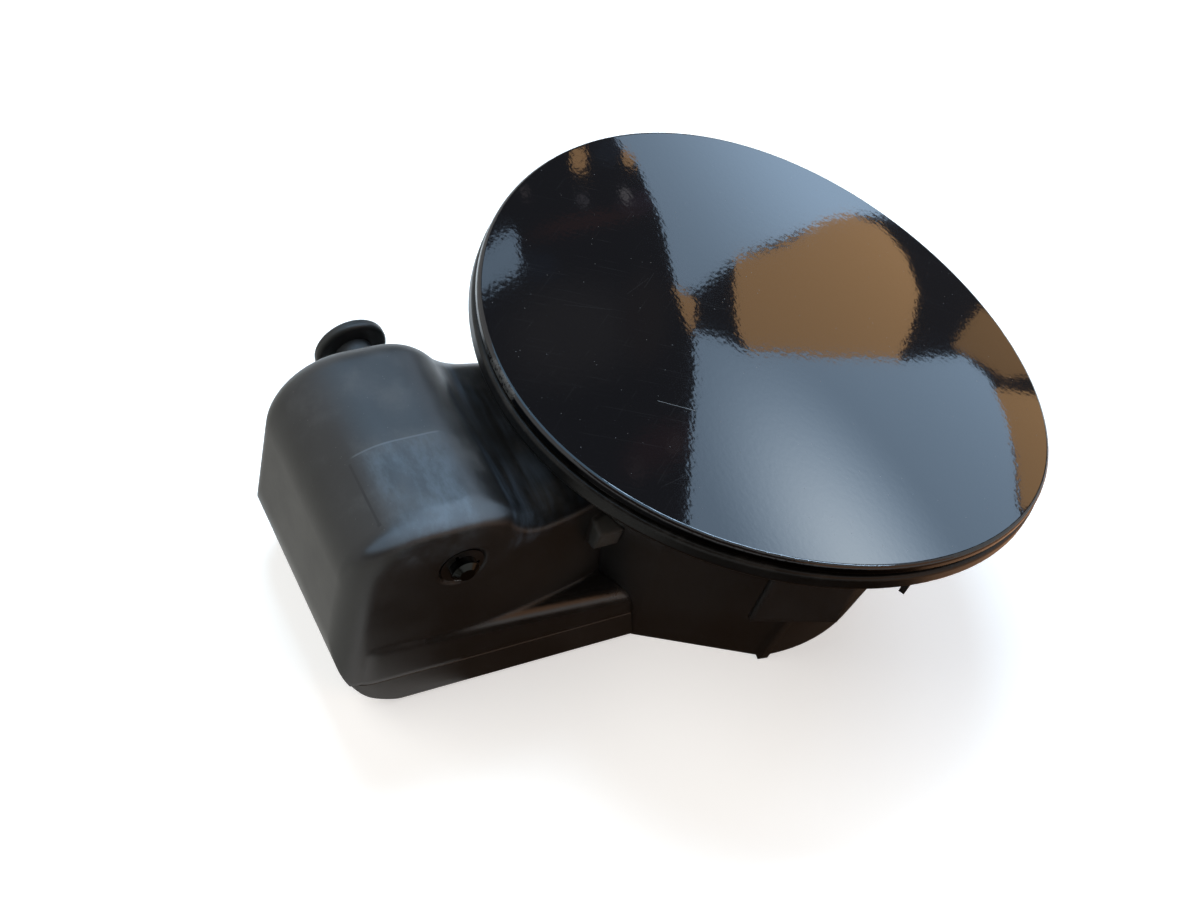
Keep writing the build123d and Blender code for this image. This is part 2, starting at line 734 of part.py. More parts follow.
# Rubber seal round the filler neck
seal_reach = seal_hole_radius + seal_overlap
seal_floor = floor_lift + floor_thickness
with BuildPart() as filler_seal:
    with BuildSketch(Plane.XZ):
        with BuildLine():
            Polyline(
                (neck_radius, floor_lift - seal_bead),
                (seal_reach, floor_lift - seal_bead),
                (seal_reach, floor_lift - seat_gap),
                (seal_hole_radius - seat_gap, floor_lift - seat_gap),
                (seal_hole_radius - seat_gap, seal_floor + seat_gap),
                (seal_reach, seal_floor + seat_gap),
                (seal_reach, seal_floor + seal_bead),
                (seal_hole_radius, seal_floor + seal_bead),
                (neck_radius + seal_lip_wall, seal_lip_z),
                (neck_radius, seal_lip_z),
                close=True,
            )
        make_face()
    revolve(axis=Axis.Z)
save(filler_seal.part, "filler_seal")

# Bush for the lock pin in the bowl's free side
with BuildPart() as lock_guide:
    with BuildSketch(Plane.YZ.offset(guide_seat)):
        with Locations((0, guide_z)):
            Circle(guide_flange)
    extrude(amount=guide_flange_thickness)
    with BuildSketch(Plane.YZ.offset(guide_seat)):
        with Locations((0, guide_z)):
            Circle(guide_radius)
    extrude(amount=striker_face + striker_gap - guide_seat)
    with BuildSketch(Plane.YZ):
        with Locations((0, guide_z)):
            Circle(guide_bore)
    extrude(amount=2 * bowl_radius, mode=Mode.SUBTRACT)
save(lock_guide.part, "lock_guide")

# Rubber buffers that the closed door rests on
for name, (x, y) in zip(("buffer_far", "buffer_near"), buffer_points):
    buffer_top = door_face(x) - under_plate - buffer_gap
    with BuildPart() as buffer:
        with BuildSketch(door.offset(flange_level)):
            with Locations((x, y)):
                Circle(buffer_radius)
        extrude(amount=buffer_top - flange_level, taper=buffer_taper)
        fillet(buffer.edges().sort_by(door_axis)[-1], 1)
        with BuildSketch(door.offset(flange_level)):
            with Locations((x, y)):
                Circle(buffer_stem_radius)
        extrude(amount=-flange_thickness - seat_gap)
        with BuildSketch(door.offset(flange_level - flange_thickness - seat_gap)):
            with Locations((x, y)):
                Circle(buffer_stem_radius + buffer_barb)
        extrude(amount=-2.5, taper=15)
    save(buffer.part, name)

# Steel sleeves in the fixing bosses
for name, (x, y) in zip(("fixing_sleeve_far", "fixing_sleeve_near"), fixing_points):
    with BuildPart() as sleeve:
        with BuildSketch():
            with Locations((x, y)):
                Circle(sleeve_radius)
                Circle(sleeve_bore, mode=Mode.SUBTRACT)
        extrude(amount=sleeve_length)
    save(sleeve.part, name)
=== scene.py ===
import math
import bpy
from mathutils import Matrix, Vector


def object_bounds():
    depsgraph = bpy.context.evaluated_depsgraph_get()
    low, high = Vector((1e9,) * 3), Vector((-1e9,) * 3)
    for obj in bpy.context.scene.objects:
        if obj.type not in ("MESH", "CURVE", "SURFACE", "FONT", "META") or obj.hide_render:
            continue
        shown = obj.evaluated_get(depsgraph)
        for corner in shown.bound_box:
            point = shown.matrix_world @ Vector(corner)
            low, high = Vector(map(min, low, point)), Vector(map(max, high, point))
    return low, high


# Looks of a round car fuel door and its moulded housing, in metres in the CAD frame.
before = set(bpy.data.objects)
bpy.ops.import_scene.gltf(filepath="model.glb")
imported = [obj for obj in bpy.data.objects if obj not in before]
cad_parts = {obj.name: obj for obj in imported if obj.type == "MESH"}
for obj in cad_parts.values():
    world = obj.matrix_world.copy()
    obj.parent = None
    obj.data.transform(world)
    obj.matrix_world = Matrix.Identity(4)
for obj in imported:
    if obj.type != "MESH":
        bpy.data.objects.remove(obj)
cad_low, cad_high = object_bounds()
bpy.ops.object.select_all(action="DESELECT")
MM = 0.001

# Camera of the photograph, solved from the door's outline and the housing's edges
CAMERA_PLACE = Vector((-292.2, -319.4, 485.6)) * MM
CAMERA_RIGHT = Vector((0.8847, -0.4260, 0.1903))
CAMERA_UP = Vector((0.2128, 0.7310, 0.6481))
CAMERA_LENS = 66.0
CAMERA_SENSOR = 36.0
CAMERA_NEAREST = 0.01

# Floor and world
FLOOR_SIZE = 8.0
FLOOR_TONE = (0.74, 0.74, 0.73)
FLOOR_LIFT = 0.52
FLOOR_GAP = 0.0002
WHITE = (1.0, 1.0, 1.0)
AMBIENT_TONE = (0.94, 0.97, 1.0)
AMBIENT_LEVEL = 0.22

# Lamps: azimuth, elevation, distance, width, height, power and tone
LAMPS = [
    ("left_sky", 165.0, 48.0, 1.3, 0.9, 0.7, 8.5, (1.0, 0.98, 0.93)),
    ("back_sky", 78.0, 58.0, 1.2, 0.7, 0.55, 18.0, (0.62, 0.82, 1.0)),
    ("warm_front", -62.0, 26.0, 1.2, 0.7, 0.35, 3.0, (1.0, 0.62, 0.38)),
]

# Cards stand in planes that face the door's centre, each at an azimuth and an elevation
MIRROR_CENTRE = Vector((3.0, 0.0, 76.0)) * MM
CARD_DISTANCE = 1.2
CARD_PLANES = {
    "mirror": (38.0, 31.0),
    "over": (95.0, 62.0),
    "strip": (48.0, 74.0),
    "front": (-62.0, 30.0),
    "behind": (228.0, 40.0),
}
SKY_TONE = (0.53, 0.74, 1.0)
SKY_WHITE = (0.72, 0.86, 1.0)
CLAY_TONE = (1.0, 0.59, 0.28)
SHADE_TONE = (0.16, 0.15, 0.16)
OVER_TONE = (0.42, 0.70, 1.0)
WARM_TONE = (1.0, 0.55, 0.32)
GROUND_TONE = (1.0, 1.0, 0.94)

# Sky panes that the door mirrors: level, bright point on the plane, its tone, boost and reach, and the corners
SKY_PANES = [
    ("sky_far", (3.3, (20.0, -260.0), SKY_TONE, 0.5, 0.35), [
        (-232, -21), (-194, -17), (-159, 23), (-137, 83), (-130, 94), (-107, 63), (-61, -55), (-18, -150),
        (46, -319), (124, -482), (2, -420), (-150, -240)]),
    ("sky_near", (3.35, (120.0, 215.0), SKY_WHITE, 1.6, 0.24), [
        (-107, 125), (-74, 95), (-44, 76), (49, -43), (130, -169), (194, -302), (224, -316), (253, -280),
        (271, -223), (283, -152), (420, 40), (650, 620), (-110, 620), (-102, 374), (-101, 195)]),
]

# Walls in front of the panes: light, and corners in millimetres across and up the plane
WALLS_AHEAD = 0.02
WALL_LIGHTS = {
    "clay": (CLAY_TONE, 2.6),
    "clay_far": (CLAY_TONE, 1.25),
    "clay_near": (CLAY_TONE, 2.2),
    "haze": (SKY_TONE, 2.7),
}
WALL_CARDS = [
    ("clay_disc", "clay", [
        (-69, -35), (-58, -57), (-28, -115), (-7, -168), (16, -242), (41, -306), (75, -352), (107, -351),
        (129, -311), (131, -233), (124, -161), (49, -44), (-41, 70), (-56, 61), (-63, 21)]),
    ("clay_far", "clay_far", [(176, -287), (194, -428), (235, -467), (274, -441), (238, -346), (197, -308)]),
    ("clay_near", "clay_near", [
        (229, -303), (286, -411), (320, -430), (360, -271), (298, -174), (283, -152), (268, -228), (247, -278)]),
    ("clay_chip", "clay", [(-137, 98), (-116, 81), (-106, 80), (-107, 116), (-112, 131), (-128, 103)]),
    ("clay_post_left", "clay", [(-271, 51), (-254, 31), (-252, 64), (-269, 83)]),
    ("clay_post_right", "clay", [(-211, -17), (-194, -25), (-196, -10), (-209, 2)]),
    ("haze_patch", "haze", [
        (-386, 307), (-360, 262), (-341, 237), (-333, 238), (-336, 257), (-327, 260), (-336, 288), (-357, 317),
        (-392, 367), (-440, 400), (-450, 330)]),
]

# Soft patches in the dark half of the mirror: tone, middle and two half axes in millimetres on its plane
PATCHES_AHEAD = -0.03
PATCH_STEP = 0.002
PATCH_FADE = (1.0, 0.25)
SOFT_PATCHES = [
    ("left_field", (0.165, 0.150, 0.150), (-273, 307), (142, -150), (-1, 105)),
    ("warm_field", (0.125, 0.103, 0.096), (-173, 183), (47, -54), (4, 94)),
    ("top_field", (0.117, 0.135, 0.178), (-232, 5), (31, -39), (2, 28)),
    ("purple_band", (0.170, 0.125, 0.165), (-191, 33), (37, -53), (2, 24)),
    ("brown_beam", (0.200, 0.105, 0.095), (-258, 139), (99, -131), (1, 16)),
    ("blue_haze", (0.100, 0.112, 0.150), (-314, 257), (40, -39), (0, 31)),
    ("lamp_left", (0.42, 0.39, 0.44), (-259, 109), (10, -11), (1, 10)),
    ("lamp_right", (0.95, 0.90, 0.95), (-206, 42), (10, -12), (1, 11)),
    ("pale_edge", (0.45, 0.38, 0.39), (-333, 177), (9, -11), (0, 9)),
    ("brown_patch", (0.155, 0.090, 0.095), (-144, 331), (75, -113), (5, 42)),
    ("lamp_low", (0.20, 0.145, 0.150), (-175, 393), (16, -18), (0, 25)),
    ("lamp_lower", (0.24, 0.165, 0.165), (-124, 307), (16, -20), (1, 19)),
]

# Dark wall behind the panes and the patches
SHADE_AHEAD = -0.05
SHADE_LEVEL = 0.48
SHADE_CORNERS = [(-900, -700), (700, -700), (700, 620), (-900, 620)]

# Cards round the part and on the floor that only reflections show: plane, tone, level and corners
SURROUND_CARDS = [
    ("sky_over", "over", OVER_TONE, 2.6, [
        (-500, -260), (430, -260), (440, -40), (600, 20), (600, 620), (-500, 620)]),
    ("rim_strip", "strip", SKY_TONE, 24.0, [(-900, -60), (900, -60), (900, 60), (-900, 60)]),
    ("warm_wall", "front", WARM_TONE, 1.1, [(-620, -330), (620, -330), (620, 360), (-620, 360)]),
    ("dusk_ground", "floor", WARM_TONE, 0.06, [
        (-117, -42), (-150, -120), (-420, -1000), (160, -1000), (42, -72), (66, -36), (60, 20)]),
    ("warm_ground", "floor", WARM_TONE, 1.0, [
        (42, -72), (160, -1000), (700, -1000), (420, -40), (60, 20), (66, -36)]),
    ("dark_behind", "behind", WARM_TONE, 0.12, [(-900, -520), (900, -520), (900, 600), (-900, 600)]),
    ("grey_ground", "floor", GROUND_TONE, 0.70, [
        (-134, -42), (-150, -120), (-420, -1000), (-1200, -1000), (-1200, 1000), (-300, 1000), (-150, 300),
        (-134, 60)]),
]

# In all the looks below, tones are linear, and places, widths and depths are in millimetres in the CAD frame.
# A NOISE is its scale, detail and roughness, a RANGE is where a smooth step starts and ends,
# a BAND is its middle, half width and soft edge, a TINT is how far the colour turns, and a STRETCH scales each axis.

# Shared groups: grain, dust and hairlines
GRAIN_DETAIL = (3.0, 0.6)
CLOUD_NOISE = (36.0, 4.0, 0.6)
CLOUD_RANGE = (0.32, 0.68)
SPECK_RANGE = (0.13, 0.05)
SETTLED_RANGE = (-0.1, 0.8)
DRIFT_NOISE = (70.0, 5.0, 0.7)
DRIFT_RANGE = (0.45, 0.75)
HAIRLINE_WANDER = 25.0
HAIRLINE_STRETCH = (60.0, 2600.0, 60.0)
HAIRLINE_NOISE = (1.0, 1.0, 0.4)
HAIRLINE_EDGE = 0.06

# Paint of the panel
PAINT_TONE = (0.0035, 0.0035, 0.0042)
PAINT_ROUGH = 0.04
PEEL_STRETCH = (1.0, 0.6, 1.0)
PEEL_NOISE = (850.0, 1.5, 0.5)
PEEL_DEPTH = 0.007
PAINT_DUST_SCALE = 800.0
PAINT_DUST_SHARE = 0.10
PAINT_DUST_TONE = (0.22, 0.20, 0.18)
PAINT_DUST_TINT = 0.3
PAINT_DUST_ROUGH = 0.3

# Scratches of the panel, from point to point seen from above, and fields of hairlines: turn and threshold
SCRATCH_TONE = (0.10, 0.10, 0.10)
SCRATCH_ROUGH = 0.25
LONG_SCRATCH = ((-43.3, -17.3), (-34.8, -22.8))
LONG_WIDTH = 0.13
FAINT_SCRATCHES = [
    ((-55.7, -43.8), (-46.9, -41.7)),
    ((-22.2, 26.2), (-27.7, 21.4)),
    ((-33.6, 20.1), (-24.7, 24.6)),
    ((-52.7, 20.1), (-40.7, 15.5)),
]
FAINT_WIDTH = 0.09
FAINT_STRENGTH = 0.12
HAIRLINE_FIELDS = [(0.5, 0.70), (-0.7, 0.72)]
HAIRLINE_STRENGTH = 0.05

# Chipped stretch of the panel's edge, and the panel's side, darkened as painted shade, by how far its face looks up
CHIP_END_NOISE = (500.0, 3.0, 0.6)
CHIP_END_DEPTH = 3.0
CHIP_BAND_Y = (2.5, 6.0, 1.5)
CHIP_RANGE_X = (-78.2, -78.7)
CHIP_NOISE = (900.0, 3.0, 0.6)
CHIP_RANGE = (0.38, 0.5)
CHIP_TONE = (0.070, 0.070, 0.066)
CHIP_TINT = 0.5
CHIP_ROUGH = 0.4
SHADED_SIDE_RANGE = (0.50, 0.25)
SHADED_SIDE_ROUGH = 0.2

# What the moulded plastics share
PLASTIC_GRAIN_SCALE = 1100.0
PLASTIC_GRAIN_DEPTH = 0.016
PLASTIC_DARKEST = 0.7
PLASTIC_LIGHTEST = 1.35
PLASTIC_CLOUD_ROUGH = 0.08
PLASTIC_DUST_SCALE = 760.0
PLASTIC_HAZE_TONE = (0.16, 0.15, 0.14)
PLASTIC_HAZE_TINT = 0.12
PLASTIC_HAZE_ROUGH = 0.15
PLASTIC_SPECK_TONE = (0.20, 0.19, 0.17)
PLASTIC_SPECK_TINT = 0.22

# Plastic of the housing and its scuffed insert mark on the dome
HOUSING_TONE = (0.0085, 0.0085, 0.0085)
HOUSING_ROUGH = 0.42
HOUSING_DUST_SHARE = 0.22
DOME_RANGE_Z = (57.0, 63.0)
INSERT_LEFT_RANGE_X = (-121.4, -116.0)
INSERT_RIGHT_RANGE_X = (-94.0, -100.0)
INSERT_FAR_RANGE_Y = (-3.0, -3.5)
INSERT_NEAR_RANGE_Y = (-29.5, -28.0)
INSERT_TEAR_NOISE = (75.0, 3.0, 0.6)
INSERT_TEAR_DEPTH = 8.0
INSERT_TONE = (0.038, 0.047, 0.056)
SCUFF_STRETCH = (1.0, 0.45, 1.0)
SCUFF_NOISE = (230.0, 5.0, 0.7)
SCUFF_RANGE = (0.35, 0.75)
SCUFF_LEAST = 0.15
SCUFF_SPREAD = 0.75
INSERT_EDGE_BAND_X = (-108.5, 10.5, 2.0)
INSERT_EDGE_BAND_Y = (-3.2, 0.15, 0.2)
INSERT_EDGE_TONE = (0.070, 0.078, 0.085)
INSERT_EDGE_TINT = 0.5
LINE_BAND_X = (-121.3, 0.18, 0.2)
LINE_BAND_Y = (-14.6, 9.8, 0.4)
DOT_BAND_X = (-121.3, 0.3, 0.3)
DOT_BAND_Y = (-24.6, 0.3, 0.3)
LINE_TONE = (0.002, 0.002, 0.002)

# Smears across the saddle, tinted bluish as a painted sky reflection
SADDLE_LEFT_RANGE_X = (-89.0, -84.0)
SADDLE_RIGHT_RANGE_X = (-56.0, -60.0)
SADDLE_RANGE_Z = (53.0, 57.0)
SADDLE_BAND_Y = (0.0, 32.0, 3.0)
SADDLE_ROUGH = -0.06
SMEAR_AND_SHEEN_STRETCH = (1.6, 0.16, 1.0)
SMEAR_AND_SHEEN_NOISE = (260.0, 4.0, 0.6)
SMEAR_AND_SHEEN_RANGE = (0.34, 0.74)
SMEAR_AND_SHEEN_PATCH_NOISE = (55.0, 2.0, 0.5)
SMEAR_AND_SHEEN_PATCH_RANGE = (0.30, 0.66)
SMEAR_AND_SKY_SHEEN_TONE = (0.045, 0.060, 0.080)
SMEAR_AND_SKY_SHEEN_TINT = 0.75

# Lug that stands proud of the near wall, which bends away from the box's half width as a parabola
WALL_BEND_X = 105.0
WALL_BEND = 346.0
WALL_HALF_Y = 32.5
LUG_PROUD_RANGE = (0.4, 1.4)
LUG_BAND_X = (-57.5, 4.0, 0.6)
LUG_BAND_Z = (47.0, 7.0, 1.0)
LUG_TONE = (0.050, 0.049, 0.045)
LUG_TINT = 0.7

# Creases of the housing, the rubbed one above the ledge, and the crisper round at the dome's near edge
CREASE_RADIUS = 2.2
CREASE_SAMPLES = 6
CREASE_FACING = (-0.09, -0.74, 0.67)
CREASE_FACING_RANGE = (0.66, 0.92)
CREASE_BAND_Z = (26.0, 12.0, 3.0)
CREASE_RANGE_X = (-122.0, -100.0)
CREASE_ROUGH = -0.24
ROUND_RANGE_Z = (48.0, 53.0)
ROUND_NEAR_RANGE = (-0.08, -0.45)
ROUND_UP_RANGE = (0.28, 0.60)
ROUND_SHARE = 0.85
JUST_OVER_ONE = 1.0001

# Other materials. Plastics: tone, roughness, share of dust and shine. Rubbers and steels: tone and roughness
PLASTICS = {
    "carrier_plastic": ((0.004, 0.004, 0.0038), 0.34, 0.03, 0.2),
    "arm_plastic": ((0.012, 0.012, 0.013), 0.45, 0.10, 0.5),
    "cover_plastic": ((0.0105, 0.0095, 0.0085), 0.46, 0.16, 0.5),
    "bush_plastic": ((0.03, 0.03, 0.032), 0.40, 0.05, 0.5),
}
RUBBERS = {
    "seal_rubber": ((0.010, 0.010, 0.011), 0.70),
    "buffer_rubber": ((0.014, 0.014, 0.014), 0.65),
}
RUBBER_GRAIN_SCALE = 1800.0
RUBBER_GRAIN_DEPTH = 0.01
RUBBER_LIGHTEST = 1.8
RUBBER_CLOUD_ROUGH = 0.1
STEELS = {
    "clip_steel": ((0.10, 0.10, 0.10), 0.34),
    "spring_steel": ((0.42, 0.41, 0.40), 0.28),
    "sleeve_steel": ((0.55, 0.55, 0.53), 0.32),
    "screw_steel": ((0.50, 0.50, 0.52), 0.30),
}
STEEL_GRAIN_SCALE = 1500.0
STEEL_GRAIN_DEPTH = 0.004
STEEL_DARKEST = 0.6
STEEL_CLOUD_ROUGH = 0.12

# Hinge pin: where its head and the head's cap begin, and the darkest and lightest tones of its three finishes
PIN_HEAD_RANGE_Y = (33.0, 34.0)
PIN_CAP_RANGE_Y = (42.6, 43.4)
PIN_STEEL_TONES = ((0.010, 0.011, 0.010), (0.032, 0.034, 0.032))
PIN_STEM_TONES = ((0.015, 0.016, 0.017), (0.028, 0.030, 0.032))
PIN_CAP_TONES = ((0.006, 0.006, 0.006), (0.012, 0.012, 0.011))
PIN_SHINE = 0.3
PIN_ROUGH = 0.16
PIN_HEAD_ROUGH = 0.28
PIN_GRAIN_DEPTH = 0.008

# Material of each piece; the pieces that aren't named are screws
PIECE_MATERIALS = {
    "door_panel": "panel_paint",
    "door_carrier": "carrier_plastic",
    "hinge_arm": "arm_plastic",
    "housing": "housing_plastic",
    "hinge_box": "housing_plastic",
    "hinge_box_cover": "cover_plastic",
    "hinge_pin": "pin_steel",
    "pin_retainer": "clip_steel",
    "door_spring": "spring_steel",
    "filler_seal": "seal_rubber",
    "buffer_far": "buffer_rubber",
    "buffer_near": "buffer_rubber",
    "lock_guide": "bush_plastic",
    "fixing_sleeve_far": "sleeve_steel",
    "fixing_sleeve_near": "sleeve_steel",
}
SCREW_MATERIAL = "screw_steel"


def opaque(tone):
    """Tone as a colour that a socket takes."""
    return (*tone, 1.0)


def scaled(tone, share):
    """Darker or lighter tone."""
    return tuple(share * channel for channel in tone)


def add(tree, kind, inputs=None, **settings):
    """New node with its settings; an input is a value or a socket to link from."""
    made = tree.nodes.new(kind)
    for name, value in settings.items():
        setattr(made, name, value)
    for key, value in (inputs or {}).items():
        if isinstance(value, bpy.types.NodeSocket):
            tree.links.new(value, made.inputs[key])
        else:
            made.inputs[key].default_value = value
    return made


def calc(tree, operation, first, second=0.0, third=0.0):
    """One sum on numbers."""
    return add(tree, "ShaderNodeMath", {0: first, 1: second, 2: third}, operation=operation).outputs[0]


def vector_sum(tree, operation, first, second=(0.0, 0.0, 0.0), out=0):
    """One sum on vectors; where it gives a number, that is output 1."""
    return add(tree, "ShaderNodeVectorMath", {0: first, 1: second}, operation=operation).outputs[out]


def split(tree, vector):
    """The three numbers of a vector."""
    return add(tree, "ShaderNodeSeparateXYZ", {0: vector}).outputs


def in_millimetres(tree, place, axes=(0, 1, 2)):
    """Coordinates of a place along the given axes."""
    spot = split(tree, place)
    return [calc(tree, "DIVIDE", spot[axis], MM) for axis in axes]


def ramp(tree, value, start, end, low=0.0, high=1.0):
    """Smooth step of a value between two ends."""
    inputs = {"Value": value, "From Min": start, "From Max": end, "To Min": low, "To Max": high}
    return add(tree, "ShaderNodeMapRange", inputs, interpolation_type="SMOOTHSTEP").outputs["Result"]


def band(tree, value, middle, half, soft):
    """One within a half width of a middle value, fading out over a soft edge."""
    away = calc(tree, "ABSOLUTE", calc(tree, "SUBTRACT", value, middle))
    return ramp(tree, away, half + soft, half)


def overlap(tree, *masks):
    """Product of masks."""
    product = masks[0]
    for mask in masks[1:]:
        product = calc(tree, "MULTIPLY", product, mask)
    return product


def blend(tree, factor, first, second):
    """Mix of two colours."""
    return add(tree, "ShaderNodeMix", {0: factor, 6: first, 7: second}, data_type="RGBA").outputs[2]


def tint(tree, mask, strength, colour, tone):
    """Colour that turns towards a tone where a mask is."""
    return blend(tree, calc(tree, "MULTIPLY", mask, strength), colour, opaque(tone))


def noise(tree, place, scale, detail, rough):
    """Cloudy noise from 0 to 1."""
    inputs = {"Vector": place, "Scale": scale, "Detail": detail, "Roughness": rough}
    return add(tree, "ShaderNodeTexNoise", inputs).outputs[0]


def stretched(tree, place, stretch):
    """Place with each axis scaled, so that a noise runs along the others."""
    return vector_sum(tree, "MULTIPLY", place, stretch)


def new_group(name, inputs, outputs):
    """Empty node group with number and vector inputs and number outputs."""
    tree = bpy.data.node_groups.new(name, "ShaderNodeTree")
    for label, value in inputs:
        kind = "NodeSocketVector" if isinstance(value, tuple) else "NodeSocketFloat"
        tree.interface.new_socket(label, in_out="INPUT", socket_type=kind).default_value = value
    for label in outputs:
        tree.interface.new_socket(label, in_out="OUTPUT", socket_type="NodeSocketFloat")
    return tree, tree.nodes.new("NodeGroupInput").outputs, tree.nodes.new("NodeGroupOutput").inputs


def make_grain_group():
    """Fine moulded grain, and slow clouding of the surface."""
    tree, given, made = new_group("moulded_grain", [("Place", (0.0, 0.0, 0.0)), ("Scale", 1000.0)],
                                  ["Height", "Cloud"])
    tree.links.new(noise(tree, given["Place"], given["Scale"], *GRAIN_DETAIL), made["Height"])
    wide = noise(tree, given["Place"], *CLOUD_NOISE)
    tree.links.new(ramp(tree, wide, *CLOUD_RANGE), made["Cloud"])
    return tree


def make_dust_group():
    """Specks and thin haze that settle on faces that look up."""
    tree, given, made = new_group("settled_dust", [("Place", (0.0, 0.0, 0.0)), ("Scale", 420.0), ("Share", 0.3)],
                                  ["Specks", "Haze"])
    cells = add(tree, "ShaderNodeTexVoronoi", {"Vector": given["Place"], "Scale": given["Scale"]})
    dot = ramp(tree, cells.outputs["Distance"], *SPECK_RANGE)
    chance = add(tree, "ShaderNodeSeparateColor", {0: cells.outputs["Color"]}).outputs[0]
    chosen = calc(tree, "LESS_THAN", chance, given["Share"])
    face = add(tree, "ShaderNodeTexCoord").outputs["Normal"]
    settled = ramp(tree, split(tree, face)[2], *SETTLED_RANGE)
    tree.links.new(overlap(tree, dot, chosen, settled), made["Specks"])
    drift = ramp(tree, noise(tree, given["Place"], *DRIFT_NOISE), *DRIFT_RANGE)
    tree.links.new(overlap(tree, drift, settled), made["Haze"])
    return tree


def make_line_group():
    """Straight scratch between two points seen from above."""
    tree, given, made = new_group("scratch_line", [("Place", (0.0, 0.0, 0.0)), ("Start", (0.0, 0.0, 0.0)),
                                                   ("End", (1.0, 0.0, 0.0)), ("Width", 0.0002)], ["Mask"])
    flat = vector_sum(tree, "MULTIPLY", given["Place"], (1.0, 1.0, 0.0))
    along = vector_sum(tree, "SUBTRACT", given["End"], given["Start"])
    away = vector_sum(tree, "SUBTRACT", flat, given["Start"])
    share = calc(tree, "DIVIDE", vector_sum(tree, "DOT_PRODUCT", away, along, 1),
                 vector_sum(tree, "DOT_PRODUCT", along, along, 1))
    share = add(tree, "ShaderNodeClamp", {"Value": share}).outputs[0]
    nearest = add(tree, "ShaderNodeVectorMath", {0: along, "Scale": share}, operation="SCALE").outputs[0]
    gap = vector_sum(tree, "LENGTH", vector_sum(tree, "SUBTRACT", away, nearest), out=1)
    tree.links.new(ramp(tree, gap, given["Width"], 0.0), made["Mask"])
    return tree


def make_hairline_group():
    """Field of fine hairlines that run one way."""
    tree, given, made = new_group("hairlines", [("Place", (0.0, 0.0, 0.0)), ("Turn", 0.0), ("Share", 0.72)], ["Mask"])
    spun = add(tree, "ShaderNodeVectorRotate", {"Vector": given["Place"], "Angle": given["Turn"]},
               rotation_type="Z_AXIS").outputs[0]
    wander = add(tree, "ShaderNodeTexNoise", {"Vector": spun, "Scale": HAIRLINE_WANDER}).outputs[1]
    bent = vector_sum(tree, "ADD", stretched(tree, spun, HAIRLINE_STRETCH), wander)
    field = noise(tree, bent, *HAIRLINE_NOISE)
    full = calc(tree, "ADD", given["Share"], HAIRLINE_EDGE)
    inputs = {"Value": field, "From Min": given["Share"], "From Max": full}
    tree.links.new(add(tree, "ShaderNodeMapRange", inputs).outputs["Result"], made["Mask"])
    return tree


GROUPS = {"grain": make_grain_group(), "dust": make_dust_group(), "line": make_line_group(),
          "hairlines": make_hairline_group()}


def use(tree, name, **inputs):
    """Outputs of one of the shared groups."""
    return add(tree, "ShaderNodeGroup", inputs, node_tree=GROUPS[name]).outputs


def empty_material(name):
    """Material without nodes, and its tree."""
    material = bpy.data.materials.new(name)
    material.use_nodes = True
    material.node_tree.nodes.clear()
    return material, material.node_tree


def show(tree, surface, kind="ShaderNodeOutputMaterial"):
    """Join a shader to the output of a material or a world."""
    tree.links.new(surface, tree.nodes.new(kind).inputs["Surface"])


def blank(name):
    """Material with one Principled shader, its tree and its place in the CAD frame."""
    material, tree = empty_material(name)
    shader = tree.nodes.new("ShaderNodeBsdfPrincipled")
    show(tree, shader.outputs[0])
    return material, tree, shader, tree.nodes.new("ShaderNodeTexCoord").outputs["Object"]


def dress(tree, shader, colour, rough, height, depth, normal=None):
    """Join a varying colour, roughness and surface height to the shader."""
    tree.links.new(colour, shader.inputs["Base Color"])
    tree.links.new(rough, shader.inputs["Roughness"])
    bump = add(tree, "ShaderNodeBump", {"Height": height, "Distance": depth * MM, "Strength": 1.0})
    if normal is not None:
        tree.links.new(normal, bump.inputs["Normal"])
    tree.links.new(bump.outputs[0], shader.inputs["Normal"])


def scratch(tree, place, ends, width):
    """Mask of a straight scratch on the panel."""
    start, end = [(x * MM, y * MM, 0.0) for x, y in ends]
    return use(tree, "line", Place=place, Start=start, End=end, Width=width * MM)["Mask"]


